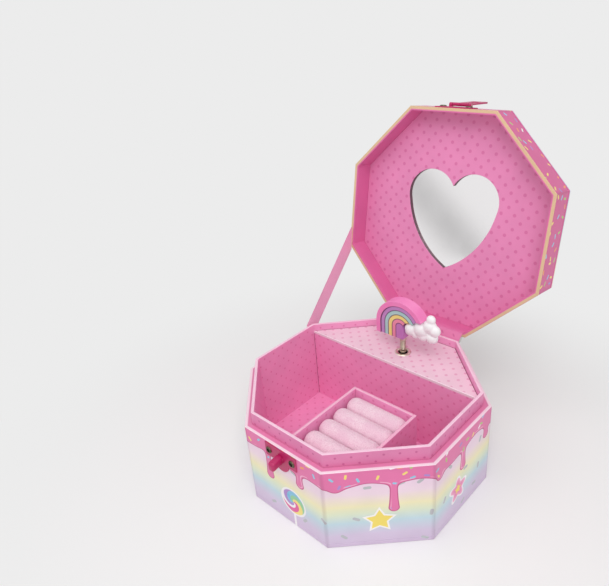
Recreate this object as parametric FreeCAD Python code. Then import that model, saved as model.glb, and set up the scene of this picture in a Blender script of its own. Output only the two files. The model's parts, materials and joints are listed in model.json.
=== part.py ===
import FreeCAD, Part
import math
import os
from FreeCAD import Vector

# Octagonal musical jewellery box with a hinged lid, stored open.
# Millimetres, +Z up, clasp towards -Y, hinges towards +Y, origin at the centre of the underside.

# Case
across_flats = 160.0
base_height = 62.0
base_wall = 5.0
bottom_thickness = 3.0
neck_wall = 2.2
neck_rise = 9.5
floor_thickness = 1.5

# Music compartment
divider_from_back = 43.3
board_thickness = 2.2
deck_thickness = 2.0
deck_below_rim = 5.5
spindle_x = 2.0
spindle_from_back = 26.3
spindle_diameter = 3.6
running_clearance = 0.06
eyelet_flange_diameter = 12.0
eyelet_flange_height = 0.8
eyelet_barrel_diameter = 7.0
movement_length = 44.0
movement_width = 27.0
movement_height = 30.0
movement_bed_thickness = 2.0
movement_bed_margin = 4.0

# Ring tray
tray_left_x = -8.0
tray_right_x = 42.0
tray_back_y = 1.5
tray_top_z = 57.0
plinth_top_z = 44.0
roll_count = 5
roll_height = 11.5
roll_gap = 0.3
roll_side_gap = 0.4
roll_end_length = 4.0
roll_end_scale = 0.84
roll_foot_scale = 0.9
roll_shoulder_height = 5.2
roll_bend_width = 0.7
roll_bend_height = 0.72

# Lid
lid_height = 23.0
lid_wall = 3.0
lid_rim_height = 1.0
lid_open_angle = 100.0
top_panel_thickness = 3.0
backing_thickness = 1.0
mirror_thickness = 1.5
liner_thickness = 2.0
heart_width = 72.0
heart_height = 73.0
heart_centre_y = 0.5
heart_shoulder_drop = 25.0
heart_notch_drop = 10.5
heart_belly_width = 60.0
heart_belly_drop = 18.0
mirror_overlap = 3.0
window_width = 90.0
window_base_y = -12.0
window_height = 48.0
pane_thickness = 1.2
plaque_length = 110.0
plaque_width = 22.0
plaque_thickness = 1.2
plaque_gap = 2.5
sprinkle_count = 4
sprinkle_diameter = 1.3
sprinkle_length = 5.0
sprinkle_pitch = 9.0
sprinkle_margin = 4.0
sprinkle_float = 0.15

# Lid hinges
hinge_pin_offset = 4.5
hinge_pin_rise = 5.0
hinge_pin_diameter = 2.6
hinge_knuckle_diameter = 6.0
hinge_spacing = 36.0
hinge_middle_length = 8.0
hinge_outer_length = 5.0
hinge_side_gap = 0.3
hinge_leaf_thickness = 1.2
hinge_leaf_length = 15.0

# Lid stay ribbon
ribbon_width = 12.5
ribbon_thickness = 0.5
ribbon_neck_gap = 0.3
ribbon_neck_y = 29.0
ribbon_drop = 4.0
ribbon_lid_y = 26.0

# Clasp
clasp_width = 27.0
clasp_plate_thickness = 0.8
clasp_lid_plate_height = 11.0
clasp_base_plate_height = 10.5
clasp_seam_gap = 0.8
clasp_dome_width = 13.0
rivet_diameter = 5.0
rivet_head = 0.7
rivet_spacing = 20.0
stud_diameter = 4.6
stud_length = 8.0
stud_drop = 7.0
hasp_width = 12.0
hasp_thickness = 1.2
hasp_window_clearance = 0.6
hasp_window_height = 9.4
hasp_window_drop = 0.6
hasp_tip = 3.0
hasp_pin_diameter = 1.2
hasp_knuckle_diameter = 2.4
hasp_ear = 2.2
hasp_lift_angle = 177.0
hasp_face_gap = 0.3

# Turning figure
post_foot_height = 1.5
wire_diameter = 0.6
spring_diameter = 4.4
spring_turns = 7
spring_end_gap = 0.1
post_height = 13.5
ferrule_height = 2.6
ferrule_diameter = 5.2
ferrule_floor = 0.8
figure_pin_diameter = 2.0
rainbow_half_width = 20.5
rainbow_leg = 9.5
rainbow_depth = 9.0
rainbow_rim_width = 4.0
band_width = 3.3
band_count = 4
band_recess = 0.6
cloud_depth = 10.0
cloud_left = 3.0
cloud_right = 28.0
cloud_lift = 2.9
cloud_foot_top = 9.7
cloud_gap = 0.2

# Winding key
key_height = 30.0
key_stem_diameter = 4.0
key_hole_clearance = 0.5
key_stand_off = 4.0
key_wing_width = 24.0
key_wing_height = 14.0
key_wing_thickness = 3.0
key_hub_diameter = 7.0
key_collar_diameter = 8.0
key_collar_gap = 1.0
key_socket_depth = 9.0
spindle_socket_depth = 7.5

# Derived places
half_flats = across_flats / 2
octagon_slope = math.tan(math.pi / 8)
neck_apothem = half_flats - base_wall
inner_apothem = neck_apothem - neck_wall
divider_y = inner_apothem - divider_from_back
spindle_y = inner_apothem - spindle_from_back
rim_z = base_height + neck_rise
floor_z = bottom_thickness + floor_thickness
deck_z = rim_z - deck_below_rim
lid_inner_apothem = half_flats - lid_wall
lid_top_z = base_height + lid_height
panel_z = lid_top_z - top_panel_thickness
backing_z = panel_z - backing_thickness
mirror_z = backing_z - mirror_thickness
liner_z = mirror_z - liner_thickness
hinge_y = half_flats + hinge_pin_offset
hinge_z = base_height + hinge_pin_rise
figure_z = deck_z + post_height
eyelet_top_z = deck_z + eyelet_flange_height
x_axis = Vector(1, 0, 0)
y_axis = Vector(0, 1, 0)
z_axis = Vector(0, 0, 1)


def octagon(apothem, z0, z1):
    side = apothem * octagon_slope
    corners = [(-side, -apothem), (side, -apothem), (apothem, -side), (apothem, side),
               (side, apothem), (-side, apothem), (-apothem, side), (-apothem, -side)]
    points = [Vector(x, y, z0) for x, y in corners]
    face = Part.Face(Part.makePolygon(points + points[:1]))
    return face.extrude(Vector(0, 0, z1 - z0))


def octagon_ring(outer, inner, z0, z1):
    return octagon(outer, z0, z1).cut(octagon(inner, z0, z1))


def block(x0, x1, y0, y1, z0, z1):
    return Part.makeBox(x1 - x0, y1 - y0, z1 - z0, Vector(x0, y0, z0))


def rod(diameter, start, direction, length):
    return Part.makeCylinder(diameter / 2, length, start, direction)


def prism(points, direction):
    return Part.Face(Part.makePolygon(points + points[:1])).extrude(direction)


def plate_from_edges(edges, direction):
    return Part.Face(Part.Wire(edges)).extrude(direction)


def opened(shape):
    # Swings a lid piece from the closed place in which it is drawn to its stored, open place.
    turned = shape.copy()
    turned.rotate(Vector(0, hinge_y, hinge_z), x_axis, -lid_open_angle)
    return turned


os.makedirs("parts", exist_ok=True)


def save(name, shape):
    solid = shape.removeSplitter()
    if len(solid.Solids) == 1:
        solid = solid.Solids[0]
    if not solid.isValid():
        print("check this shape:", name)
    solid.exportStep("parts/%s.step" % name)


# Case walls, with a hole through the back for the winding key
key_hole_diameter = key_stem_diameter + 2 * key_hole_clearance
key_hole = rod(key_hole_diameter, Vector(spindle_x, divider_y, key_height), y_axis, half_flats)
base_walls = octagon_ring(half_flats, neck_apothem, bottom_thickness, base_height)
neck_liner = octagon_ring(neck_apothem, inner_apothem, bottom_thickness, rim_z)
save("bottom_panel", octagon(half_flats, 0, bottom_thickness))
save("base_walls", base_walls.cut(key_hole))
save("neck_liner", neck_liner.cut(key_hole))
save("floor_board", octagon(inner_apothem, bottom_thickness, floor_z))

# Divider and music deck
divider = block(-half_flats, half_flats, divider_y, divider_y + board_thickness,
                floor_z, deck_z - deck_thickness)
save("divider", divider.common(octagon(inner_apothem, 0, rim_z)))
deck = octagon(inner_apothem, deck_z - deck_thickness, deck_z)
deck = deck.cut(block(-half_flats, half_flats, -half_flats, divider_y, 0, rim_z))
post_axis = Vector(spindle_x, spindle_y, 0)
save("music_deck", deck.cut(rod(eyelet_barrel_diameter, post_axis, z_axis, rim_z)))

# Eyelet in the deck, with the running bore of the spindle
bore_diameter = spindle_diameter + 2 * running_clearance
deck_foot = Vector(spindle_x, spindle_y, deck_z - deck_thickness)
eyelet = rod(eyelet_barrel_diameter, deck_foot, z_axis, deck_thickness + eyelet_flange_height)
flange_foot = Vector(spindle_x, spindle_y, deck_z)
eyelet = eyelet.fuse(rod(eyelet_flange_diameter, flange_foot, z_axis, eyelet_flange_height))
save("deck_eyelet", eyelet.cut(rod(bore_diameter, post_axis, z_axis, lid_top_z)))

# Ring tray: three board walls against the front of the case, and a foam plinth
tray_room = octagon(inner_apothem, floor_z, tray_top_z)
tray_inner_left = tray_left_x + board_thickness
tray_inner_back = tray_back_y - board_thickness
save("tray_left_wall", block(tray_left_x, tray_inner_left, -half_flats, tray_back_y,
                             floor_z, tray_top_z).common(tray_room))
save("tray_right_wall", block(tray_right_x, tray_right_x + board_thickness, -half_flats, tray_back_y,
                              floor_z, tray_top_z).common(tray_room))
save("tray_back_wall", block(tray_inner_left, tray_right_x, tray_inner_back, tray_back_y,
                             floor_z, tray_top_z))
plinth = block(tray_inner_left, tray_right_x, -half_flats, tray_inner_back, floor_z, plinth_top_z)
save("tray_plinth", plinth.common(octagon(inner_apothem, floor_z, plinth_top_z)))


# Ring rolls: padded rolls along X with a crowned back and drawn-in ends
def roll_section(x, y0, y1, scale):
    middle = (y0 + y1) / 2
    half = (y1 - y0) / 2 * scale
    shoulder_z = plinth_top_z + roll_shoulder_height * scale
    top_z = plinth_top_z + roll_height * scale
    bend_z = shoulder_z + (top_z - shoulder_z) * roll_bend_height
    foot = half * roll_foot_scale
    bend = half * roll_bend_width
    foot_front = Vector(x, middle - foot, plinth_top_z)
    foot_back = Vector(x, middle + foot, plinth_top_z)
    side_front = Vector(x, middle - half, shoulder_z)
    side_back = Vector(x, middle + half, shoulder_z)
    top = Vector(x, middle, top_z)
    return Part.Wire([Part.makeLine(foot_back, foot_front), Part.makeLine(foot_front, side_front),
                      Part.Arc(side_front, Vector(x, middle - bend, bend_z), top).toShape(),
                      Part.Arc(top, Vector(x, middle + bend, bend_z), side_back).toShape(),
                      Part.makeLine(side_back, foot_back)])


def roll_right_end(y0):
    # The tray's right side follows the slanted front wall near the front corner.
    slanted = inner_apothem * math.sqrt(2) + y0
    return min(tray_right_x, slanted) - roll_side_gap


roll_pitch = (tray_inner_back + inner_apothem) / roll_count
for number in range(roll_count):
    roll_back = tray_inner_back - number * roll_pitch - roll_gap
    roll_front = roll_back - roll_pitch + roll_gap
    roll_left = tray_inner_left + roll_side_gap
    roll_right = roll_right_end(roll_front)
    stations = [(roll_left, roll_end_scale), (roll_left + roll_end_length, 1.0),
                (roll_right - roll_end_length, 1.0), (roll_right, roll_end_scale)]
    wires = [roll_section(x, roll_front, roll_back, scale) for x, scale in stations]
    save("ring_roll_%d" % (number + 1), Part.makeLoft(wires, True, True))

# Music movement on the floor behind the divider
movement_x0 = spindle_x - movement_length / 2
movement_x1 = spindle_x + movement_length / 2
movement_y0 = spindle_y - movement_width / 2
movement_y1 = spindle_y + movement_width / 2
bed_top_z = floor_z + movement_bed_thickness
movement_top_z = bed_top_z + movement_height
save("movement_bed", block(movement_x0 - movement_bed_margin, movement_x1 + movement_bed_margin,
                           movement_y0, movement_y1, floor_z, bed_top_z))
movement = block(movement_x0, movement_x1, movement_y0, movement_y1, bed_top_z, movement_top_z)
key_bore = rod(key_stem_diameter + 2 * running_clearance,
               Vector(spindle_x, movement_y1 - key_socket_depth, key_height), y_axis, half_flats)
spindle_foot_z = movement_top_z - spindle_socket_depth
spindle_bore = rod(bore_diameter, Vector(spindle_x, spindle_y, spindle_foot_z), z_axis, base_height)
save("movement_case", movement.cut(key_bore).cut(spindle_bore))

# Spindle through the eyelet, with the round foot that carries the spring post
spindle_top_z = eyelet_top_z + running_clearance
spindle = rod(spindle_diameter, Vector(spindle_x, spindle_y, spindle_foot_z + running_clearance),
              z_axis, spindle_top_z - spindle_foot_z)
post_foot = rod(spring_diameter + wire_diameter, Vector(spindle_x, spindle_y, spindle_top_z),
                z_axis, post_foot_height)
save("spindle", spindle.fuse(post_foot))

# Spring post: one unbroken wire wound round the post axis
spring_z0 = spindle_top_z + post_foot_height + wire_diameter / 2 + spring_end_gap
spring_z1 = figure_z - ferrule_height - wire_diameter / 2 - spring_end_gap
coil_radius = (spring_diameter - wire_diameter) / 2
spring_pitch = (spring_z1 - spring_z0) / spring_turns


def coil_point(turn):
    angle = 2 * math.pi * turn
    return Vector(spindle_x + coil_radius * math.cos(angle), spindle_y + coil_radius * math.sin(angle),
                  spring_z0 + spring_pitch * turn)


quarters = 4 * spring_turns
coil_edges = [Part.Arc(coil_point(q / 4), coil_point((q + 0.5) / 4), coil_point((q + 1) / 4)).toShape()
              for q in range(quarters)]
coil_path = Part.Wire(coil_edges)
wire_start = coil_point(0)
wire_tangent = coil_edges[0].tangentAt(coil_edges[0].FirstParameter)
wire_section = Part.Wire([Part.makeCircle(wire_diameter / 2, wire_start, wire_tangent)])
save("post_spring", coil_path.makePipeShell([wire_section], True, False))
samples = [coil_point(i / 48) for i in range(48 * spring_turns + 1)]
coil_gap = min((samples[i] - samples[k]).Length for i in range(0, len(samples), 6)
               for k in range(i + 24, len(samples)))
print("post spring: least gap between turns %.2f mm" % (coil_gap - wire_diameter))

# Ferrule on top of the spring, which carries the turning pin of the figure
figure_foot = Vector(spindle_x, spindle_y, figure_z)
ferrule_foot = Vector(spindle_x, spindle_y, figure_z - ferrule_height)
pin_bore_diameter = figure_pin_diameter + 2 * running_clearance
ferrule = rod(ferrule_diameter, ferrule_foot, z_axis, ferrule_height - running_clearance)
pin_seat = ferrule_foot + Vector(0, 0, ferrule_floor)
save("post_ferrule", ferrule.cut(rod(pin_bore_diameter, pin_seat, z_axis, post_height)))


# Rainbow: an arch on two short legs, with recessed bands inside a thicker rim
def arch_edges(half_width, y):
    spring_line = figure_z + rainbow_leg
    left = Vector(spindle_x - half_width, y, figure_z)
    right = Vector(spindle_x + half_width, y, figure_z)
    left_high = Vector(spindle_x - half_width, y, spring_line)
    right_high = Vector(spindle_x + half_width, y, spring_line)
    crown = Vector(spindle_x, y, spring_line + half_width)
    return [Part.makeLine(right, left), Part.makeLine(left, left_high),
            Part.Arc(left_high, crown, right_high).toShape(), Part.makeLine(right_high, right)]


def arch(half_width, depth):
    return plate_from_edges(arch_edges(half_width, spindle_y - depth / 2), Vector(0, depth, 0))


def cloud_lobe(offset_x, rise, diameter, depth):
    start = Vector(spindle_x + offset_x, spindle_y - depth / 2, figure_z + rise)
    return rod(diameter, start, y_axis, depth)


# The cloud stands on the right leg and wraps its front and back.
# Each lobe has its place to the right of the post, its height above the figure's foot and its diameter.
cloud_lobes = [(7.9, 9.7, 10.8), (16.5, 12.2, 12.0), (22.8, 16.4, 10.0), (23.4, 21.8, 6.6),
               (26.4, 13.6, 8.4), (24.5, 7.2, 8.6)]
cloud_foot = block(spindle_x + cloud_left, spindle_x + cloud_right, spindle_y - cloud_depth / 2,
                   spindle_y + cloud_depth / 2, figure_z + cloud_lift, figure_z + cloud_foot_top)
cloud = cloud_foot
for offset_x, rise, diameter in cloud_lobes:
    cloud = cloud.fuse(cloud_lobe(offset_x, rise, diameter, cloud_depth))
cloud = cloud.removeSplitter()
cloud_room = block(spindle_x + cloud_left - cloud_gap, spindle_x + cloud_right + cloud_gap,
                   spindle_y - cloud_depth, spindle_y + cloud_depth, figure_z, figure_z + cloud_foot_top)
for offset_x, rise, diameter in cloud_lobes:
    cloud_room = cloud_room.fuse(cloud_lobe(offset_x, rise, diameter + 2 * cloud_gap, 2 * cloud_depth))
save("cloud", cloud)

rim_inner = rainbow_half_width - rainbow_rim_width
figure_pin = rod(figure_pin_diameter, pin_seat + Vector(0, 0, running_clearance), z_axis, ferrule_height)
rainbow_rim = arch(rainbow_half_width, rainbow_depth).cut(arch(rim_inner, 2 * rainbow_depth))
save("rainbow_rim", rainbow_rim.cut(cloud_room))
band_depth = rainbow_depth - 2 * band_recess
for number in range(band_count):
    outer = rim_inner - number * band_width
    band = arch(outer, band_depth).cut(arch(outer - band_width, 2 * rainbow_depth))
    save("rainbow_band_%d" % (number + 1), band.cut(cloud_room))
rainbow_centre = arch(rim_inner - band_count * band_width, band_depth).cut(cloud_room)
save("rainbow_centre", rainbow_centre.fuse(figure_pin))

# Winding key on the back of the case
stem_y0 = movement_y1 - key_socket_depth + running_clearance
stem_y1 = half_flats + key_stand_off + key_wing_height / 2
key_stem = rod(key_stem_diameter, Vector(spindle_x, stem_y0, key_height), y_axis, stem_y1 - stem_y0)
key_collar = rod(key_collar_diameter, Vector(spindle_x, half_flats + key_collar_gap, key_height),
                 y_axis, key_stand_off - key_collar_gap)
save("key_stem", key_stem.fuse(key_collar))
wing_y0 = half_flats + key_stand_off
wing_centres = [spindle_x - key_wing_width / 4, spindle_x + key_wing_width / 4]
key_wing = block(wing_centres[0], wing_centres[1], wing_y0, wing_y0 + key_wing_height,
                 key_height - key_wing_thickness / 2, key_height + key_wing_thickness / 2)
for wing_x in wing_centres:
    wing_foot = Vector(wing_x, wing_y0 + key_wing_height / 2, key_height - key_wing_thickness / 2)
    key_wing = key_wing.fuse(rod(key_wing_height, wing_foot, z_axis, key_wing_thickness))
hub_foot = Vector(spindle_x, wing_y0, key_height)
key_wing = key_wing.fuse(rod(key_hub_diameter, hub_foot, y_axis, key_wing_height))
save("key_wing", key_wing.cut(key_stem))

# Lid box
lid_wall_z = base_height + lid_rim_height
save("lid_rim", opened(octagon_ring(half_flats, lid_inner_apothem, base_height, lid_wall_z)))
lid_walls = octagon_ring(half_flats, lid_inner_apothem, lid_wall_z, panel_z)
save("lid_walls", opened(lid_walls))


def half_disc(width, base_y, height, z0, z1):
    left = Vector(-width / 2, base_y, z0)
    right = Vector(width / 2, base_y, z0)
    crown = Vector(0, base_y + height, z0)
    edges = [Part.makeLine(right, left), Part.Arc(left, crown, right).toShape()]
    return plate_from_edges(edges, Vector(0, 0, z1 - z0))


window_hole = half_disc(window_width, window_base_y, window_height, panel_z, lid_top_z)
save("lid_top_panel", opened(octagon(half_flats, panel_z, lid_top_z).cut(window_hole)))
save("window_backing", opened(octagon(lid_inner_apothem, backing_z, panel_z)))
pane_z = lid_top_z - pane_thickness
save("window_pane", opened(half_disc(window_width, window_base_y, window_height, pane_z, lid_top_z)))


# Heart outline: two round lobes and two bellied sides that meet in a point
def heart(z0, z1):
    top_y = heart_centre_y - heart_height / 2
    shoulder_y = top_y + heart_shoulder_drop
    belly_y = shoulder_y + heart_belly_drop
    tip = Vector(0, heart_centre_y + heart_height / 2, z0)
    notch = Vector(0, top_y + heart_notch_drop, z0)
    left = Vector(-heart_width / 2, shoulder_y, z0)
    right = Vector(heart_width / 2, shoulder_y, z0)
    left_top = Vector(-heart_width / 4, top_y, z0)
    right_top = Vector(heart_width / 4, top_y, z0)
    left_belly = Vector(-heart_belly_width / 2, belly_y, z0)
    right_belly = Vector(heart_belly_width / 2, belly_y, z0)
    edges = [Part.Arc(notch, left_top, left).toShape(), Part.Arc(left, left_belly, tip).toShape(),
             Part.Arc(tip, right_belly, right).toShape(), Part.Arc(right, right_top, notch).toShape()]
    return plate_from_edges(edges, Vector(0, 0, z1 - z0))


heart_hole = heart(liner_z, mirror_z)
save("lid_liner", opened(octagon(lid_inner_apothem, liner_z, mirror_z).cut(heart_hole)))
mirror_width = heart_width + 2 * mirror_overlap
mirror_height = heart_height + 2 * mirror_overlap
save("heart_mirror", opened(block(-mirror_width / 2, mirror_width / 2, heart_centre_y - mirror_height / 2,
                                  heart_centre_y + mirror_height / 2, mirror_z, backing_z)))

# Plaque under the window
plaque_y = window_base_y - plaque_gap - plaque_width / 2
plaque_straight = plaque_length - plaque_width
plaque = block(-plaque_straight / 2, plaque_straight / 2, plaque_y - plaque_width / 2,
               plaque_y + plaque_width / 2, lid_top_z, lid_top_z + plaque_thickness)
for side in (-1, 1):
    plaque = plaque.fuse(rod(plaque_width, Vector(side * plaque_straight / 2, plaque_y, lid_top_z),
                             z_axis, plaque_thickness))
save("lid_plaque", opened(plaque))

# Loose sprinkles in the window, lying at its hinge side
sprinkle_z = panel_z + sprinkle_diameter / 2 + sprinkle_float / 2
sprinkle_y = window_base_y + window_height - sprinkle_margin
for number in range(sprinkle_count):
    offset = (number - (sprinkle_count - 1) / 2) * sprinkle_pitch
    start = Vector(offset - sprinkle_length / 2, sprinkle_y - sprinkle_diameter, sprinkle_z)
    save("sprinkle_%d" % (number + 1), opened(rod(sprinkle_diameter, start, x_axis, sprinkle_length)))

# Lid hinges: a base leaf with one knuckle, a lid leaf with two, and a pin
pin_bore = hinge_pin_diameter + 2 * running_clearance
knuckle_radius = hinge_knuckle_diameter / 2


def hinge_knuckle(x0, length):
    return rod(hinge_knuckle_diameter, Vector(x0, hinge_y, hinge_z), x_axis, length)


def hinge_web(x0, length, z_foot, z_head):
    # Slanted arm from a leaf to its knuckle
    points = [Vector(x0, half_flats, z_foot), Vector(x0, half_flats + hinge_leaf_thickness, z_foot),
              Vector(x0, hinge_y, z_head), Vector(x0, hinge_y - knuckle_radius, hinge_z)]
    return prism(points, Vector(length, 0, 0))


for side, label in ((-1, "left"), (1, "right")):
    centre = side * hinge_spacing / 2
    middle_x0 = centre - hinge_middle_length / 2
    pin_length = hinge_middle_length + 2 * hinge_side_gap + 2 * hinge_outer_length
    pin_x0 = centre - pin_length / 2
    pin_start = Vector(pin_x0, hinge_y, hinge_z)
    pin_hole = rod(pin_bore, pin_start, x_axis, pin_length)
    leaf_top = base_height - hinge_side_gap
    base_leaf = block(pin_x0, pin_x0 + pin_length, half_flats, half_flats + hinge_leaf_thickness,
                      leaf_top - hinge_leaf_length, leaf_top - hinge_knuckle_diameter / 2)
    base_leaf = base_leaf.fuse(block(middle_x0, middle_x0 + hinge_middle_length, half_flats,
                                     half_flats + hinge_leaf_thickness,
                                     leaf_top - hinge_leaf_length, leaf_top))
    base_leaf = base_leaf.fuse(hinge_web(middle_x0, hinge_middle_length, leaf_top,
                                         hinge_z - knuckle_radius))
    base_leaf = base_leaf.fuse(hinge_knuckle(middle_x0, hinge_middle_length))
    save("hinge_base_leaf_%s" % label, base_leaf.cut(pin_hole))
    lid_leaf_z0 = hinge_z + knuckle_radius + hinge_side_gap
    lid_leaf = block(pin_x0, pin_x0 + pin_length, half_flats, half_flats + hinge_leaf_thickness,
                     lid_leaf_z0, lid_top_z - hinge_side_gap)
    for outer_x0 in (pin_x0, pin_x0 + pin_length - hinge_outer_length):
        lid_leaf = lid_leaf.fuse(hinge_knuckle(outer_x0, hinge_outer_length))
        lid_leaf = lid_leaf.fuse(hinge_web(outer_x0, hinge_outer_length, lid_leaf_z0,
                                           hinge_z + knuckle_radius))
    save("hinge_lid_leaf_%s" % label, opened(lid_leaf.cut(pin_hole)))
    save("hinge_pin_%s" % label, rod(hinge_pin_diameter, pin_start, x_axis, pin_length))

# Clasp: base plate with its stud, lid plate with its ears, hasp and pin
clasp_face_y = -half_flats
clasp_out_y = clasp_face_y - clasp_plate_thickness
plate_top_z = base_height - clasp_seam_gap / 2
plate_bottom_z = plate_top_z - clasp_base_plate_height
stud_z = base_height - stud_drop
base_plate = block(-clasp_width / 2, clasp_width / 2, clasp_out_y, clasp_face_y,
                   plate_bottom_z, plate_top_z)
dome_foot = Vector(0, clasp_out_y, plate_bottom_z)
base_plate = base_plate.fuse(rod(clasp_dome_width, dome_foot, y_axis, clasp_plate_thickness))
stud = rod(stud_diameter, Vector(0, clasp_out_y - stud_length, stud_z), y_axis, stud_length)
save("clasp_base_plate", base_plate.fuse(stud))
lid_plate_z0 = base_height + clasp_seam_gap / 2
lid_plate_z1 = lid_plate_z0 + clasp_lid_plate_height
lid_plate = block(-clasp_width / 2, clasp_width / 2, clasp_out_y, clasp_face_y,
                  lid_plate_z0, lid_plate_z1)
hasp_pin_z = lid_plate_z1 + hasp_knuckle_diameter / 4
hasp_pin_y = clasp_out_y - hasp_face_gap - hasp_knuckle_diameter / 2
hasp_knuckle_radius = hasp_knuckle_diameter / 2
tongue_half = clasp_dome_width / 2 + hasp_ear
lid_plate = lid_plate.fuse(block(-tongue_half, tongue_half, clasp_out_y, clasp_face_y,
                                 lid_plate_z0, hasp_pin_z + hasp_knuckle_radius))
ear_x = hasp_width / 2 + hasp_face_gap
for ear_x0 in (-ear_x - hasp_ear, ear_x):
    ear_start = Vector(ear_x0, hasp_pin_y, hasp_pin_z)
    lid_plate = lid_plate.fuse(rod(hasp_knuckle_diameter, ear_start, x_axis, hasp_ear))
    lid_plate = lid_plate.fuse(block(ear_x0, ear_x0 + hasp_ear, hasp_pin_y, clasp_out_y,
                                     hasp_pin_z - hasp_knuckle_radius, hasp_pin_z + hasp_knuckle_radius))
hasp_pin_length = 2 * (ear_x + hasp_ear)
hasp_pin_start = Vector(-hasp_pin_length / 2, hasp_pin_y, hasp_pin_z)
hasp_pin = rod(hasp_pin_diameter, hasp_pin_start, x_axis, hasp_pin_length)
save("clasp_lid_plate", opened(lid_plate.cut(hasp_pin)))
save("hasp_pin", opened(hasp_pin))

# Hasp, drawn shut over the stud and stored swung back over the lid's front
hasp_y0 = hasp_pin_y - hasp_thickness / 2
window_half = stud_diameter / 2 + hasp_window_clearance
window_z = stud_z - hasp_window_drop
window_rise = hasp_window_height / 2
hasp_foot_z = window_z - window_rise - hasp_tip
hasp = block(-hasp_width / 2, hasp_width / 2, hasp_y0, hasp_y0 + hasp_thickness, hasp_foot_z, hasp_pin_z)
hasp_knuckle_start = Vector(-hasp_width / 2, hasp_pin_y, hasp_pin_z)
hasp = hasp.fuse(rod(hasp_knuckle_diameter, hasp_knuckle_start, x_axis, hasp_width))
hasp = hasp.cut(block(-window_half, window_half, hasp_y0, hasp_y0 + hasp_thickness,
                      window_z - window_rise, window_z + window_rise))
hasp = hasp.cut(rod(hasp_pin_diameter + 2 * running_clearance, Vector(-hasp_width, hasp_pin_y, hasp_pin_z),
                    x_axis, 2 * hasp_width))
hasp.rotate(Vector(0, hasp_pin_y, hasp_pin_z), x_axis, -hasp_lift_angle)
save("clasp_hasp", opened(hasp))

# Rivets through the clasp wings
rivet_places = [("base", (plate_bottom_z + plate_top_z) / 2), ("lid", (lid_plate_z0 + lid_plate_z1) / 2)]
for half, rivet_z in rivet_places:
    for side, label in ((-1, "left"), (1, "right")):
        head = rod(rivet_diameter, Vector(side * rivet_spacing / 2, clasp_out_y - rivet_head, rivet_z),
                   y_axis, rivet_head)
        save("%s_rivet_%s" % (half, label), opened(head) if half == "lid" else head)

# Lid stay ribbon, taut between the neck's left side and the rim of the lid's left wall
ribbon_low = Vector(-neck_apothem - ribbon_neck_gap, ribbon_neck_y, rim_z - ribbon_drop)
lid_anchor = Part.Vertex(Vector(-half_flats + lid_wall / 2, ribbon_lid_y, base_height))
ribbon_high = opened(lid_anchor).Point
print("ribbon length %.1f mm" % (ribbon_high - ribbon_low).Length)
along = (ribbon_high - ribbon_low).normalize()
across = along.cross(x_axis).normalize()
half_across = across * (ribbon_width / 2)
ribbon_end = ribbon_high + along * ribbon_width
corners = [ribbon_low - half_across, ribbon_low + half_across,
           ribbon_end + half_across, ribbon_end - half_across]
ribbon = prism(corners, x_axis * -ribbon_thickness)
save("lid_ribbon", ribbon.cut(opened(octagon(across_flats, base_height, across_flats))))
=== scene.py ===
import bpy
import bmesh
import json
import random
from functools import partial
from math import cos, pi, radians, sin, tan
from mathutils import Matrix, Vector

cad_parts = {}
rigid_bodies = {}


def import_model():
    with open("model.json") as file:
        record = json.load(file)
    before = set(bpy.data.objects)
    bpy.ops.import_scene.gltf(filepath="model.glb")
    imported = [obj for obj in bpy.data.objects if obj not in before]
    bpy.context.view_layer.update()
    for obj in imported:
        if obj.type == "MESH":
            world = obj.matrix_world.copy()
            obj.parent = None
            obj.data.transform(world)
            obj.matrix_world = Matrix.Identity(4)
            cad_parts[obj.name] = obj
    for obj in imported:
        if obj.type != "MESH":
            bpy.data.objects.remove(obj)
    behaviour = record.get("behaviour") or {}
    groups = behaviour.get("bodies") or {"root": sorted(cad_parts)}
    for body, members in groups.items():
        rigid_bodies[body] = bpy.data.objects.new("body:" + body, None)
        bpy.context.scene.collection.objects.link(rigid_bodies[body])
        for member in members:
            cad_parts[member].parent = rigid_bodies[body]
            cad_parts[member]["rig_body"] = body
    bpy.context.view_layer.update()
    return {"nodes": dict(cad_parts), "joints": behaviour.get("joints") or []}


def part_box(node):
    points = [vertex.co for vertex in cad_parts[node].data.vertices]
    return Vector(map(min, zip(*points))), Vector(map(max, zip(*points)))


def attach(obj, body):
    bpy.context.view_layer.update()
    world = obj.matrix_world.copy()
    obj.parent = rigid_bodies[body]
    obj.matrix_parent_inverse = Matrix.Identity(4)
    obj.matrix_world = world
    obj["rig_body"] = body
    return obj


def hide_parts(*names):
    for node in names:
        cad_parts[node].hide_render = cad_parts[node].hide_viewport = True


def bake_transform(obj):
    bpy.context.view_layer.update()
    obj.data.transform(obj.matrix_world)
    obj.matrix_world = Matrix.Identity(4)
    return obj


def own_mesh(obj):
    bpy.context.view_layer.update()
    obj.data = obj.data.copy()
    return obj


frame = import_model()
nodes = frame["nodes"]
scene = bpy.context.scene
scene.view_settings.view_transform = "Standard"
random.seed(41)
mm = 0.001
print("frame loaded:", len(nodes), "nodes")
shiftBy = Matrix.Translation


def turnBy(angle, axis):
    return Matrix.Rotation(angle, 4, axis)


# places read from the frame, in metres
wallLow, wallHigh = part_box("base_walls")
halfFlats = wallHigh.x
shoulderZ = wallHigh.z
faceSide = 2 * halfFlats * tan(pi / 8)
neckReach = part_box("neck_liner")[1].x
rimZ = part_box("neck_liner")[1].z
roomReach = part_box("divider")[1].x
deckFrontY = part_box("music_deck")[0].y
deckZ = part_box("music_deck")[1].z
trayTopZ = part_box("tray_back_wall")[1].z
joints = {joint["name"]: joint for joint in frame["joints"]}
hinge = Vector(joints["lid_hinge"]["pos_m"])
openAngle = radians(joints["lid_hinge"]["range_deg"][1])
postX, postY = joints["figure_spin"]["pos_m"][:2]
openTurn = shiftBy(hinge) @ turnBy(-openAngle, "X") @ shiftBy(-hinge)
openFacing = openTurn.to_3x3()
shutTurn = openTurn.inverted()


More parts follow.
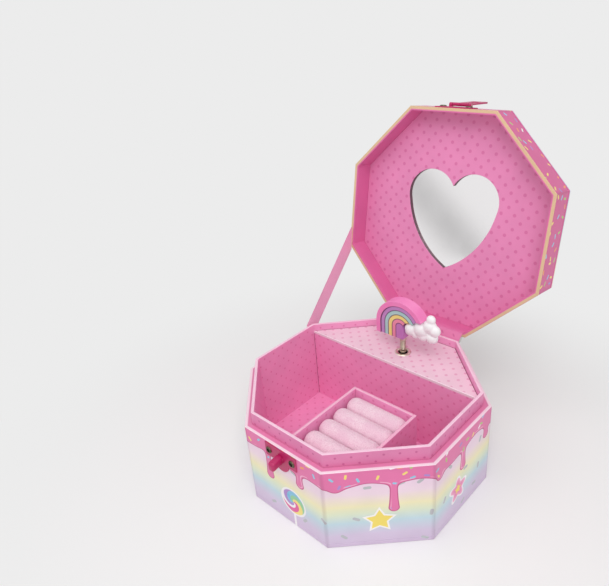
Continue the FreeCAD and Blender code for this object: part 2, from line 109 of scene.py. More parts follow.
def shutReach(node):
    # lowest and highest point of a lid node with the lid shut
    heights = [(shutTurn @ vertex.co).z for vertex in nodes[node].data.vertices]
    return min(heights), max(heights)


linerZ = shutReach("lid_liner")[0]
lidTopZ = shutReach("lid_top_panel")[1]


def srgb(red, green, blue):
    def linear(value):
        share = value / 255
        return share / 12.92 if share <= 0.04045 else ((share + 0.055) / 1.055) ** 2.4
    return (linear(red), linear(green), linear(blue), 1.0)


# camera at the photograph's viewing angle
cameraSet = dict(
    azimuth=46.14, elevation=27.19, roll=-5.55, distance=0.4019, sensor=36, target=(-0.0485, 0.0, 0.1206),
    focalPixels=570.3, imageWide=609, nearest=0.01)


def placeCamera(azimuth, elevation, roll, distance, sensor, target, focalPixels, imageWide, nearest):
    data = bpy.data.cameras.new("photoCamera")
    data.sensor_width = sensor
    data.lens = focalPixels / imageWide * sensor
    data.clip_start = nearest
    camera = bpy.data.objects.new("photoCamera", data)
    scene.collection.objects.link(camera)
    turn = turnBy(radians(azimuth), "Z") @ turnBy(radians(90 - elevation), "X") @ turnBy(radians(roll), "Z")
    camera.matrix_world = shiftBy(target) @ turn @ shiftBy((0, 0, distance))
    scene.camera = camera


placeCamera(**cameraSet)
print("camera placed")


# small helpers for wiring nodes
def feed(value, socket):
    if isinstance(value, bpy.types.NodeSocket):
        socket.id_data.links.new(value, socket)
    else:
        socket.default_value = value


def addNode(kind, inputs, tree=None, **settings):
    # gives the node's outputs; without a tree, it goes into that of the first socket among its inputs
    if tree is None:
        tree = next(value.id_data for value in inputs.values() if isinstance(value, bpy.types.NodeSocket))
    made = tree.nodes.new("ShaderNode" + kind)
    for key, value in settings.items():
        setattr(made, key, value)
    for key, value in inputs.items():
        feed(value, made.inputs[key])
    return made.outputs


def calc(operation, *values):
    return addNode("Math", dict(enumerate(values)), operation=operation)[0]


plus, minus, times, over, timesPlus, larger, absolute = [partial(calc, kind) for kind in (
    "ADD", "SUBTRACT", "MULTIPLY", "DIVIDE", "MULTIPLY_ADD", "MAXIMUM", "ABSOLUTE")]


def joinXyz(x, y, z=0.0):
    return addNode("CombineXYZ", {"X": x, "Y": y, "Z": z})[0]


def splitXyz(vector):
    return addNode("SeparateXYZ", {"Vector": vector})


def measure(vector):
    return addNode("VectorMath", {0: vector}, operation="LENGTH")["Value"]


def span(x, y):
    return measure(joinXyz(x, y))


def noise(place, scale, detail=2.0):
    values = {"Vector": place, "Scale": scale, "Detail": detail}
    return addNode("TexNoise", values)["Fac"]


def waver(along, scale):
    # slow noise along one direction
    values = {"W": along, "Scale": scale, "Detail": 0.0}
    return addNode("TexNoise", values, noise_dimensions="1D")["Fac"]


def fade(value, low, high, start=0.0, end=1.0, kind="SMOOTHSTEP"):
    values = {"Value": value, "From Min": low, "From Max": high, "To Min": start, "To Max": end}
    return addNode("MapRange", values, interpolation_type=kind)[0]


def inside(distance, soft=0.12 * mm):
    # 1 where the signed distance is below zero, with a soft edge
    return fade(distance, -soft, soft, 1.0, 0.0)


def above(value, level, soft=0.1 * mm):
    return fade(value, level - soft, level + soft)


def mix(mask, first, second, blend="MIX"):
    # a colour mix node has its factor at input 0, its colours at 6 and 7 and its result at output 2
    first, second = [srgb(*tone) if isinstance(tone, tuple) else tone for tone in (first, second)]
    values = {0: mask, 6: first, 7: second}
    return addNode("Mix", values, data_type="RGBA", blend_type=blend)[2]


def ramp(factor, stops, interpolation="LINEAR"):
    # each stop is a place and a colour in red, green and blue
    made = addNode("ValToRGB", {"Fac": factor})[0]
    band = made.node.color_ramp
    band.interpolation = interpolation
    while len(band.elements) < len(stops):
        band.elements.new(1.0)
    for element, (place, *colour) in zip(band.elements, stops):
        element.position = place
        element.color = srgb(*colour)
    return made


def effect(name, **inputs):
    # turns a maker into a shared node group, used by calling it; an input without a value is a vector
    def build(maker):
        tree = bpy.data.node_groups.new(name, "ShaderNodeTree")
        for label, value in inputs.items():
            kind = "NodeSocketVector" if value is None else "NodeSocketFloat"
            socket = tree.interface.new_socket(label, in_out="INPUT", socket_type=kind)
            if value is not None:
                socket.default_value = value
        results = maker(*tree.nodes.new("NodeGroupInput").outputs[:len(inputs)])
        for label, value in results.items():
            kind = "NodeSocketColor" if value.type == "RGBA" else "NodeSocketFloat"
            tree.interface.new_socket(label, in_out="OUTPUT", socket_type=kind)
        sockets = tree.nodes.new("NodeGroupOutput").inputs
        for label, value in results.items():
            feed(value, sockets[label])

        def use(*values, **named):
            return addNode("Group", {**dict(enumerate(values)), **named}, node_tree=tree)
        return use
    return build


# unrolls the eight walls into one long strip, counted from the middle of the front
@effect("wallUnroll", Vector=None)
def wallUnroll(place):
    x, y, z = splitXyz(place)
    face = calc("ROUND", over(calc("ARCTAN2", x, times(y, -1.0)), pi / 4))
    turn = times(face, pi / 4)
    cosine, sine = calc("COSINE", turn), calc("SINE", turn)
    across = plus(times(x, cosine), times(y, sine))
    return {"Along": timesPlus(face, faceSide, across), "Height": z, "Across": across, "Face": face,
            "Reach": minus(times(x, sine), times(y, cosine))}


# staggered rows of small dots
@effect("dotField", Along=0.0, Up=0.0, Pitch=9.4 * mm, Rows=4.7 * mm, Radius=0.75 * mm)
def dotField(along, up, pitch, step, radius):
    rows = over(up, step)
    shift = times(calc("FLOORED_MODULO", calc("FLOOR", rows), 2.0), 0.5)
    columns = plus(over(along, pitch), shift)
    offX = times(minus(calc("FRACT", columns), 0.5), pitch)
    offY = times(minus(calc("FRACT", rows), 0.5), step)
    return {"Mask": inside(minus(span(offX, offY), radius), 0.3 * mm)}


# scattered little rods, each with its own turn and tint
@effect("sprinkleField", Along=0.0, Up=0.0, Cell=7.6 * mm, Length=2.1 * mm, Width=1.5 * mm, Density=0.8)
def sprinkleField(along, up, cell, length, width, density):
    place = joinXyz(along, up)
    cells = addNode("TexVoronoi", {"Vector": place, "Scale": over(1.0, cell), "Randomness": 0.85},
                    voronoi_dimensions="2D", feature="F1")
    local = addNode("VectorMath", {0: place, 1: cells["Position"]}, operation="SUBTRACT")[0]
    chance = splitXyz(cells["Color"])
    turned = addNode("VectorRotate", {"Vector": local, "Angle": times(chance[0], 2 * pi)},
                     rotation_type="Z_AXIS")[0]
    x, y, z = splitXyz(turned)
    past = larger(minus(absolute(x), times(length, 0.5)), 0.0)
    rod = inside(minus(span(past, y), times(width, 0.5)))
    return {"Mask": times(rod, calc("LESS_THAN", chance[1], density)), "Tint": chance[2]}


# icing that hangs from an edge in rounded drips; the distance is below zero on the icing
dripSet = dict(
    cell=8 * faceSide / 18, seed=124.65, band=8.0 * mm, swell=7.5 * mm, waves=38.0, radius=2.3 * mm,
    bulb=1.1 * mm, bulbPower=4.0, blend=6.5 * mm, shortest=8 * mm, longest=33 * mm, lengthPower=1.6,
    centreFrom=0.32, centreSpread=0.36)


@effect("icingDrip", Along=0.0, Depth=0.0)
def icingDrip(along, depth):
    steps = over(along, dripSet["cell"])
    seeded = plus(calc("FLOOR", steps), dripSet["seed"])
    chance = splitXyz(addNode("TexWhiteNoise", {"W": seeded}, noise_dimensions="1D")["Color"])
    centre = timesPlus(chance[0], dripSet["centreSpread"], dripSet["centreFrom"])
    offX = times(minus(calc("FRACT", steps), centre), dripSet["cell"])
    spread = dripSet["longest"] - dripSet["shortest"]
    reach = timesPlus(calc("POWER", chance[1], dripSet["lengthPower"]), spread, dripSet["shortest"])
    gap = span(offX, larger(minus(depth, reach), 0.0))
    share = calc("MINIMUM", over(larger(depth, 0.0), reach), 1.0)
    fuller = timesPlus(calc("POWER", share, dripSet["bulbPower"]), dripSet["bulb"], dripSet["radius"])
    band = minus(depth, timesPlus(waver(along, dripSet["waves"]), dripSet["swell"], dripSet["band"]))
    return {"Distance": calc("SMOOTH_MIN", band, minus(gap, fuller), dripSet["blend"])}


# fine paper fibre: a height for the bump, a slight unevenness of tone and of gloss
@effect("paperGrain", Vector=None)
def paperGrain(place):
    fibre = noise(place, 2600.0, 3.0)
    return {"Height": fibre, "Tone": timesPlus(noise(place, 55.0), 0.16, 0.92),
            "Gloss": timesPlus(fibre, 0.18, 0.33)}


# printed motifs, each drawn in units of its own size: a swirled sweet on a stick, a star and a flower
def motif(name):
    def build(maker):
        def scaled(x, y, size):
            x, y = over(x, size), over(y, size)
            return maker(x, y, span(x, y))
        return effect(name, X=0.0, Y=0.0, Size=8 * mm)(scaled)
    return build


sweetSet = dict(
    twist=0.55, rim=0.87, stickY=-1.45, stickHalf=0.62, stickWidth=0.085, soft=0.03, white=(250, 246, 248),
    stripes=[(0.0, 232, 92, 160), (0.18, 250, 228, 130), (0.36, 150, 208, 160), (0.54, 130, 196, 228),
        (0.72, 176, 136, 206), (0.88, 250, 244, 248)])


@motif("sweetMotif")
def sweetMotif(x, y, away):
    soft, white = sweetSet["soft"], sweetSet["white"]
    angle = over(calc("ARCTAN2", y, x), 2 * pi)
    swirl = calc("FRACT", timesPlus(away, sweetSet["twist"], plus(angle, 1.0)))
    stripes = ramp(swirl, sweetSet["stripes"], "CONSTANT")
    disc = inside(minus(away, 1.0), soft)
    low = minus(absolute(minus(y, sweetSet["stickY"])), sweetSet["stickHalf"])
    stick = inside(larger(low, minus(absolute(x), sweetSet["stickWidth"])), soft)
    striped = mix(above(away, sweetSet["rim"], soft), stripes, white)
    return {"Colour": mix(disc, white, striped), "Mask": larger(disc, stick)}


flowerSet = dict(
    petals=5.0, swing=0.2, middle=0.78, soft=0.03,
    tints=[(0.0, 250, 222, 110), (0.3, 250, 222, 110), (0.34, 236, 120, 176), (0.8, 246, 176, 208),
        (0.86, 252, 246, 250)])


@motif("flowerMotif")
def flowerMotif(x, y, away):
    petals = calc("COSINE", times(calc("ARCTAN2", x, y), flowerSet["petals"]))
    share = over(away, timesPlus(petals, flowerSet["swing"], flowerSet["middle"]))
    return {"Colour": ramp(share, flowerSet["tints"]), "Mask": inside(minus(share, 1.0), flowerSet["soft"])}


starSet = dict(inner=0.52, border=0.1, soft=0.02, body=(248, 224, 104), edge=(252, 248, 246))


@motif("starMotif")
def starMotif(x, y, away):
    fold = calc("PINGPONG", calc("ARCTAN2", x, y), pi / 5)
    inner = starSet["inner"]
    normal = Vector((inner * sin(pi / 5), 1.0 - inner * cos(pi / 5))).normalized()
    side = plus(times(calc("COSINE", fold), normal.x), times(calc("SINE", fold), normal.y))
    gap = minus(times(away, side), normal.x)
    edge = above(gap, -starSet["border"], starSet["soft"])
    return {"Colour": mix(edge, starSet["body"], starSet["edge"]), "Mask": inside(gap, starSet["soft"])}


motifs = [sweetMotif, starMotif, flowerMotif]
print("shared effects made")


def restPlace(tree, onLid=False):
    # Object coordinates; a lid piece is turned back to its shut place, where its print is laid out
    place = addNode("TexCoord", {}, tree)["Object"]
    if not onLid:
        return place
    values = {"Vector": place, "Location": shutTurn.to_translation(), "Rotation": (openAngle, 0, 0)}
    return addNode("Mapping", values, vector_type="POINT")[0]


def startMaterial(name, plain=None, onLid=False):
    # the plain values are the same all over the surface
    material = bpy.data.materials.new(name)
    material.use_nodes = True
    shader = material.node_tree.nodes["Principled BSDF"]
    for key, value in (plain or {}).items():
        shader.inputs[key].default_value = value
    return material, shader, restPlace(material.node_tree, onLid)


def surface(name, plain=None, onLid=False):
    # turns a maker into a material: it gets the shader and the place on the part
    def build(maker):
        material, shader, place = startMaterial(name, plain, onLid)
        maker(shader, place)
        return material
    return build


def finish(shader, colour, gloss, height=None, depth=0.0, strength=0.4):
    feed(colour, shader.inputs["Base Color"])
    feed(gloss, shader.inputs["Roughness"])
    if height is not None:
        values = {"Height": height, "Distance": depth, "Strength": strength}
        feed(addNode("Bump", values)[0], shader.inputs["Normal"])


def paperFinish(shader, place, colour, coat=0.12):
    grain = paperGrain(place)
    tone = joinXyz(grain["Tone"], grain["Tone"], grain["Tone"])
    finish(shader, mix(1.0, colour, tone, "MULTIPLY"), grain["Gloss"], grain["Height"], 0.03 * mm, 0.35)
    shader.inputs["Coat Weight"].default_value = coat
    shader.inputs["Coat Roughness"].default_value = 0.25


# outer prints of the case and the lid
sprinkleTints = [(0.0, 248, 224, 116), (0.22, 144, 202, 228), (0.44, 176, 140, 208), (0.6, 176, 208, 116),
                 (0.78, 246, 160, 96), (0.9, 250, 246, 246)]
cover = dict(
    icing=(230, 116, 170), icingEdge=(190, 66, 124), icingShine=(250, 190, 218), lidIcing=(216, 88, 150),
    ledge=(226, 132, 176), lidLining=(222, 112, 166), boardEdge=(248, 226, 236), foil=(196, 198, 202))


def strew(colour, mask, tint):
    return mix(mask, colour, ramp(tint, sprinkleTints, "CONSTANT"))


def paintCornerShade(colour, wall, share, shade):
    # painted shade: a little darker along the folded corners
    corner = above(absolute(wall["Across"]), faceSide / 2 - 1.2 * mm, 1.0 * mm)
    return mix(times(corner, share), colour, shade, "MULTIPLY")


def layIcing(colour, along, up, distance):
    # pink icing with a darker border, a pale broken shine inside it and sprinkles on top
    shine = times(inside(plus(distance, 1.1 * mm)), above(distance, -1.7 * mm))
    shine = times(shine, above(waver(along, 90.0), 0.55, 0.04))
    edge = above(distance, -0.5 * mm, 0.3 * mm)
    icing = mix(edge, cover["icing"], cover["icingEdge"])
    icing = mix(times(shine, 0.8), icing, cover["icingShine"])
    sprinkles = sprinkleField(along, up)
    clear = inside(plus(distance, 1.4 * mm), 0.4 * mm)
    icing = strew(icing, times(sprinkles["Mask"], clear), sprinkles["Tint"])
    return mix(inside(distance), colour, icing)


basePrintSet = dict(
    bands=[(0.0, 214, 192, 220), (0.16, 216, 200, 226), (0.33, 196, 220, 230), (0.45, 226, 234, 206),
        (0.54, 244, 236, 192), (0.7, 242, 218, 230), (0.85, 240, 210, 232)],
    motifSize=11 * mm, motifHeight=21 * mm, motifStep=6 * mm, boardThick=1.9 * mm)


@surface("basePrint")
def basePrint(shader, place):
    wall = wallUnroll(place)
    wobble = timesPlus(noise(place, 30.0, 1.0), 0.06, -0.03)
    colour = ramp(plus(over(wall["Height"], shoulderZ), wobble), basePrintSet["bands"])
    foil = sprinkleField(wall["Along"], wall["Height"], Cell=21 * mm, Length=2.8 * mm, Width=2.2 * mm,
                         Density=0.7)["Mask"]
    colour = mix(foil, colour, cover["foil"])
    kind = calc("FLOORED_MODULO", wall["Face"], 3.0)
    for number, group in enumerate(motifs):
        motif = group(plus(wall["Across"], (number - 1) * basePrintSet["motifStep"]),
                      minus(wall["Height"], basePrintSet["motifHeight"]), basePrintSet["motifSize"])
        chosen = calc("COMPARE", kind, float(number), 0.1)
        colour = mix(times(chosen, motif["Mask"]), colour, motif["Colour"])
    drip = icingDrip(wall["Along"], minus(shoulderZ, wall["Height"]))["Distance"]
    colour = layIcing(colour, wall["Along"], wall["Height"], drip)
    # painted shade along the folded corners
    colour = paintCornerShade(colour, wall, 0.22, (150, 110, 140))
    outer = above(wall["Reach"], halfFlats - basePrintSet["boardThick"], 0.4 * mm)
    ledge = mix(outer, cover["ledge"], cover["boardEdge"])
    colour = mix(above(wall["Height"], shoulderZ - 0.25 * mm), colour, ledge)
    paperFinish(shader, place, colour)
    feed(times(foil, inside(times(drip, -1.0))), shader.inputs["Metallic"])


@surface("lidSidePrint", onLid=True)
def lidSidePrint(shader, place):
    wall = wallUnroll(place)
    sprinkles = sprinkleField(wall["Along"], wall["Height"])
    outer = strew(cover["lidIcing"], sprinkles["Mask"], sprinkles["Tint"])
    # painted shade along the folded corners
    outer = paintCornerShade(outer, wall, 0.2, (150, 90, 130))
    colour = mix(above(wall["Reach"], halfFlats - 1.5 * mm), cover["lidLining"], outer)
    paperFinish(shader, place, colour)


# each motif on the lid: its number, its place and its size, in mm
lidTopSet = dict(
    bands=[(0.06, 212, 196, 222), (0.22, 208, 200, 226), (0.38, 176, 212, 232), (0.52, 192, 224, 206),
        (0.63, 244, 234, 178), (0.76, 240, 200, 200), (0.9, 238, 176, 208)],
    motifs=[(0, -40, 58, 10), (2, 55, 4, 10), (1, 56, 40, 9), (2, -56, 36, 9), (1, -57, 4, 9),
        (0, 30, -52, 9), (2, -6, -58, 8), (1, -38, -54, 8), (1, 0, 58, 9), (0, 36, 61, 8)])


@surface("lidTopPrint", onLid=True)
def lidTopPrint(shader, place):
    x, y, z = splitXyz(place)
    wobble = timesPlus(noise(place, 22.0, 1.0), 0.08, -0.04)
    colour = ramp(plus(timesPlus(y, 0.5 / halfFlats, 0.5), wobble), lidTopSet["bands"])
    confetti = sprinkleField(x, y, Cell=17 * mm, Length=2.4 * mm, Width=1.3 * mm, Density=0.55)
    colour = strew(colour, confetti["Mask"], confetti["Tint"])
    for number, centreX, centreY, size in lidTopSet["motifs"]:
        motif = motifs[number](minus(x, centreX * mm), minus(y, centreY * mm), size * mm)
        colour = mix(motif["Mask"], colour, motif["Colour"])
    topFace = above(z, lidTopZ - 1.2 * mm, 0.3 * mm)
    paperFinish(shader, place, mix(topFace, cover["lidIcing"], colour))


# plain dotted papers of the inside; each board says which way its dots run and where its pale edge is
dottedSet = dict(
    roomPaper={"ground": (248, 164, 208), "dot": (237, 138, 187), "radius": 0.95 * mm,
        "edge": (246, 186, 212)},
    deckPaper={"ground": (242, 207, 222), "dot": (232, 172, 200), "radius": 1.1 * mm},
    linerPaper={"ground": (233, 140, 188), "dot": (221, 116, 169), "radius": 1.25 * mm, "pitch": 9.8 * mm,
        "rows": 4.9 * mm},
    neckPaper={"ground": (247, 166, 208), "dot": (234, 132, 182), "edge": (248, 206, 226),
        "outside": (226, 132, 178), "outsideDot": (204, 98, 150)},
    tapePaper={"ground": (226, 122, 172), "dot": (208, 96, 150)},
    seam=(140, 44, 92), cut=(88, 46, 64))


def makeDottedPaper(name, run, onLid=False, paleAbove=None, paleFront=None, shadeSeamAt=None, cutEdge=None):
    colours = dottedSet[name]
    material, shader, place = startMaterial(name + run.capitalize(), onLid=onLid)
    x, y, z = splitXyz(place)
    wall = wallUnroll(place)
    along, up = x, y
    if run == "walls":
        along, up = wall["Along"], z
    elif run == "boards":
        along, up = plus(x, y), z
    dots = dotField(along, up, colours.get("pitch", 9.4 * mm), colours.get("rows", 4.7 * mm),
                    colours.get("radius", 0.75 * mm))
    ground, dot = colours["ground"], colours["dot"]
    if "outside" in colours:
        outer = above(wall["Reach"], neckReach - 1.0 * mm)
        ground = mix(outer, ground, colours["outside"])
        dot = mix(outer, dot, colours["outsideDot"])
    colour = mix(dots["Mask"], ground, dot)
    if cutEdge is not None:  # shaded cut edge of a board with an opening
        colour = mix(above(z, cutEdge + 0.2 * mm, 0.1 * mm), colour, dottedSet["cut"])
    if shadeSeamAt is not None:  # painted shade: a dark line where the board meets the walls, for the shadowed gap
        colour = mix(above(wall["Reach"], shadeSeamAt - 0.5 * mm, 0.25 * mm), colour, dottedSet["seam"])
    if paleAbove is not None:
        colour = mix(above(z, paleAbove - 0.2 * mm), colour, colours["edge"])
    if paleFront is not None:
        front = above(times(y, -1.0), -paleFront - 0.9 * mm)
        colour = mix(front, colour, cover["boardEdge"])
    paperFinish(shader, place, colour, 0.05)
    return material


neckPaper = makeDottedPaper("neckPaper", "walls", paleAbove=rimZ)
trayPaper = makeDottedPaper("roomPaper", "boards", paleAbove=trayTopZ)
floorPaper = makeDottedPaper("roomPaper", "floor")
dividerPaper = makeDottedPaper("roomPaper", "boards", shadeSeamAt=roomReach)
deckPaper = makeDottedPaper("deckPaper", "floor", paleFront=deckFrontY, shadeSeamAt=roomReach)
linerPaper = makeDottedPaper("linerPaper", "floor", True, cutEdge=linerZ)
tapePaper = makeDottedPaper("tapePaper", "boards")

# bare board at the lid's rim, with the lining paper turned over its inner edge
rimSet = dict(board=(222, 188, 150), bare=2.0 * mm)


@surface("rimBoard", onLid=True)
def rimBoard(shader, place):
    reach = wallUnroll(place)["Reach"]
    bare = above(reach, halfFlats - rimSet["bare"], 0.15 * mm)
    paperFinish(shader, place, mix(bare, cover["lidLining"], rimSet["board"]), 0.0)


# plain sunburst stripes behind the window
sunSet = dict(
    centreY=-12 * mm, radius=17 * mm, disc=(248, 214, 92),
    rays=[(0.0, 196, 160, 214), (0.14, 236, 130, 186), (0.28, 244, 176, 140), (0.42, 248, 232, 140),
        (0.57, 190, 220, 150), (0.71, 150, 206, 230), (0.85, 230, 160, 206)])


@surface("windowPrint", onLid=True)
def windowPrint(shader, place):
    x, y, z = splitXyz(place)
    rise = minus(y, sunSet["centreY"])
    rays = ramp(over(calc("ARCTAN2", rise, x), pi), sunSet["rays"], "CONSTANT")
    disc = inside(minus(span(x, rise), sunSet["radius"]))
    paperFinish(shader, place, mix(disc, rays, sunSet["disc"]))


# a capsule with rainbow borders and small dots
plaqueSet = dict(
    middleY=-25.5 * mm, halfLong=44 * mm, radius=11 * mm, centre=4.2 * mm, dotPitch=7 * mm,
    dotRadius=0.8 * mm, dot=(252, 240, 246),
    rings=[(0.0, 244, 156, 200), (0.42, 252, 248, 250), (0.56, 250, 230, 150), (0.68, 190, 224, 190),
        (0.79, 160, 208, 230), (0.9, 178, 150, 212)])


@surface("plaquePrint", onLid=True)
def plaquePrint(shader, place):
    x, y, z = splitXyz(place)
    past = larger(minus(absolute(x), plaqueSet["halfLong"]), 0.0)
    away = span(past, minus(y, plaqueSet["middleY"]))
    rings = ramp(over(away, plaqueSet["radius"]), plaqueSet["rings"], "CONSTANT")
    pitch = plaqueSet["dotPitch"]
    dots = dotField(x, minus(y, plaqueSet["middleY"] + pitch / 4), pitch, pitch / 2, plaqueSet["dotRadius"])
    centre = inside(minus(away, plaqueSet["centre"]))
    paperFinish(shader, place, mix(times(dots["Mask"], centre), rings, plaqueSet["dot"]), 0.3)


def makeMoulded(name, light, deep, roughness=0.32, coat=0.2, grooveShade=None):
    # moulded plastic or vinyl: slight tone drift, fine pits, uneven gloss
    material, shader, place = startMaterial(name, {"Coat Weight": coat, "Coat Roughness": 0.12})
    tone = mix(noise(place, 90.0), deep, light)
    # painted shade: the groove mask darkens the grooves between the bands
    if grooveShade:
        tone = mix(times(grooveShade(place)["Mask"], 0.8), tone, (96, 62, 98))
    fine = noise(place, 420.0, 3.0)
    finish(shader, tone, timesPlus(fine, 0.16, roughness - 0.08), fine, 0.02 * mm)
    return material


def makeMetal(name, bright, dark, roughness=0.3, shadedWell=None):
    # worn sheet or turned metal: brushed gloss and tarnish in soft patches
    material, shader, place = startMaterial(name, {"Metallic": 1.0})
    tone = mix(above(noise(place, 520.0, 5.0), 0.4, 0.3), dark, bright)
    if shadedWell:  # painted shade: a dark centre for the hollow, by distance from the axis on the piece's own map
        away = splitXyz(place.node.outputs["UV"])[0]
        tone = mix(above(away, 0.62, 0.08), shadedWell, tone)
    stretched = addNode("Mapping", {"Vector": place, "Scale": (400.0, 4000.0, 4000.0)})[0]
    brush = noise(stretched, 1.0)
    finish(shader, tone, timesPlus(brush, 0.25, roughness - 0.1), brush, 0.01 * mm, 0.3)
    return material


claspPlastic = makeMoulded("claspPlastic", (204, 40, 112), (174, 22, 86), 0.4, 0.05)
# the rivets' darkest colour is painted shade in their hollow centres
rivetMetal = makeMetal("rivetMetal", (112, 102, 84), (70, 62, 52), 0.3, (44, 40, 34))
hingeSteel = makeMetal("hingeSteel", (210, 208, 204), (178, 174, 170))
postBrass = makeMetal("postBrass", (214, 204, 186), (160, 148, 128), 0.34)
keyMetal = makeMetal("keyMetal", (216, 206, 180), (188, 174, 144))
movementSteel = makeMetal("movementSteel", (190, 190, 190), (130, 130, 130))
movementPlastic = makeMoulded("movementPlastic", (236, 232, 226), (222, 216, 208), 0.45, 0.0)
rainbowTints = dict(
    rainbow_rim=("rainbow_pink", (250, 158, 208), (244, 124, 190)),
    rainbow_band_1=("rainbow_lilac", (206, 156, 212), (192, 138, 200)),
    rainbow_band_2=("rainbow_blue", (186, 226, 220), (166, 210, 208)),
    rainbow_band_3=("rainbow_yellow", (250, 236, 146), (242, 220, 124)),
    rainbow_band_4=("rainbow_coral", (244, 158, 182), (234, 136, 166)),
    rainbow_centre=("rainbow_purple", (206, 138, 202), (190, 118, 188)))
looseTints = dict(
    pink=((236, 96, 166), (216, 70, 142)), yellow=((250, 226, 110), (236, 206, 84)),
    blue=((130, 196, 232), (106, 174, 216)), lilac=((186, 150, 216), (166, 126, 200)))


# painted shade: dark lines in the grooves between the rainbow's bands, which all share one centre
@effect("bandGroove", Vector=None)
def bandGroove(place):
    outerLow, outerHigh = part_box("rainbow_band_1")
    bandReach = postX - outerLow.x
    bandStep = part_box("rainbow_band_2")[0].x - outerLow.x
    x, y, z = splitXyz(place)
    rise = larger(minus(z, outerHigh.z - bandReach), 0.0)
    away = span(minus(x, postX), rise)
    steps = over(minus(bandReach, away), bandStep)
    off = absolute(minus(steps, calc("ROUND", steps)))
    line = inside(minus(times(off, bandStep), 0.36 * mm), 0.2 * mm)
    within = times(inside(minus(away, bandReach + 0.5 * mm)), above(away, bandReach - 4.5 * bandStep))
    return {"Mask": times(line, within)}


rainbowVinyl = {node: makeMoulded(slotName, light, deep, 0.38, 0.1, bandGroove)
                for node, (slotName, light, deep) in rainbowTints.items()}


# white vinyl with painted shade, tinted pink, towards its foot
@surface("cloudVinyl")
def cloudVinyl(shader, place):
    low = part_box("cloud")[0].z
    paintedUnderShade = fade(splitXyz(place)[2], low, low + 5 * mm, 0.3, 0.0, "LINEAR")
    fine = noise(place, 700.0)
    colour = mix(paintedUnderShade, (250, 249, 250), (244, 214, 228))
    finish(shader, colour, timesPlus(fine, 0.15, 0.38), fine, 0.03 * mm)


@surface("heartMirror", {"Metallic": 1.0})
def heartMirror(shader, place):
    haze = noise(place, 60.0, 3.0)
    finish(shader, mix(haze, (250, 247, 248), (252, 250, 251)), timesPlus(haze, 0.08, 0.05))


@surface("windowPane", {"Transmission Weight": 1.0, "IOR": 1.3, "Alpha": 0.25})
def windowPane(shader, place):
    feed(timesPlus(noise(place, 40.0), 0.03, -0.005), shader.inputs["Roughness"])


# short brushed pile over foam
@surface("ringPlush", {"Sheen Weight": 0.6, "Sheen Roughness": 0.4, "Sheen Tint": srgb(255, 232, 242),
                       "Specular IOR Level": 0.2})
def ringPlush(shader, place):
    pile = noise(place, 1500.0, 4.0)
    colour = mix(above(noise(place, 120.0), 0.5, 0.22), (242, 206, 222), (248, 222, 232))
    finish(shader, mix(above(pile, 0.42, 0.2), (232, 188, 208), colour), 0.9, pile, 0.25 * mm, 0.7)


ribbonLook = dict(ribs=150, threads=28, light=(254, 204, 228), deep=(245, 162, 204), edge=(232, 142, 188))


# fine ribs across the ribbon and a woven edge, on its own lengthwise map
@surface("ribbonSatin", {"Sheen Weight": 0.25})
def ribbonSatin(shader, place):
    u, v = splitXyz(place.node.outputs["UV"])[:2]
    ribs = calc("SINE", times(v, 2 * pi * ribbonLook["ribs"]))
    weave = timesPlus(calc("SINE", times(u, 2 * pi * ribbonLook["threads"])), 0.35, ribs)
    edge = above(absolute(minus(u, 0.5)), 0.44, 0.02)
    colour = mix(timesPlus(weave, 0.25, 0.4), ribbonLook["deep"], ribbonLook["light"])
    colour = mix(times(edge, 0.45), colour, ribbonLook["edge"])
    finish(shader, colour, timesPlus(ribs, 0.06, 0.42), weave, 0.06 * mm, 0.6)


sprinklePlastics = {tint: makeMoulded("loose" + tint.capitalize(), light, deep)
                    for tint, (light, deep) in looseTints.items()}
print("materials made:", len(bpy.data.materials))


def linkForm(name, form, material):
    mesh = bpy.data.meshes.new(name)
    form.to_mesh(mesh)
    form.free()
    mesh.materials.append(material)
    linked = bpy.data.objects.new(name, mesh)
    scene.collection.objects.link(linked)
    return linked


# pieces: a bmesh becomes a named object that rides on a body
def makePiece(name, form, material, body=None, replaced=(), sharp=38):
    piece = linkForm(name, form, material)
    piece.data.polygons.foreach_set("use_smooth", [True] * len(piece.data.polygons))
    piece.data.set_sharp_from_angle(angle=radians(sharp))
    if body:
        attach(piece, body)
    if replaced:
        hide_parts(*replaced)
    return piece


def formOf(mesh):
    form = bmesh.new()
    form.from_mesh(mesh)
    return form


def mergedCopy(node):
    form = formOf(nodes[node].data)
    bmesh.ops.remove_doubles(form, verts=form.verts, dist=0.002 * mm)
    bmesh.ops.dissolve_limit(form, angle_limit=radians(0.4), verts=form.verts, edges=form.edges)
    return form


def everything(form):
    return form.verts[:] + form.edges[:] + form.faces[:]


def softenEdges(form, width, segments=2, angle=32):
    limit = radians(angle)
    corners = [edge for edge in form.edges if len(edge.link_faces) == 2 and edge.calc_face_angle() > limit]
    bmesh.ops.bevel(form, geom=corners, offset=width, offset_type="OFFSET", affect="EDGES", segments=segments,
                    profile=0.5, material=-1, clamp_overlap=True)


def dressNode(node, material, width, segments=2):
    # a copy of the CAD node with its hard edges eased
    form = mergedCopy(node)
    softenEdges(form, width, segments)
    piece = makePiece(node + "_eased", form, material, nodes[node]["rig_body"], [node])
    piece.modifiers.new("evenShading", "WEIGHTED_NORMAL").keep_sharp = True


def layMap(form, place):
    layer = form.loops.layers.uv.new("UVMap")
    for face in form.faces:
        for loop in face.loops:
            loop[layer].uv = place(loop.vert.co)


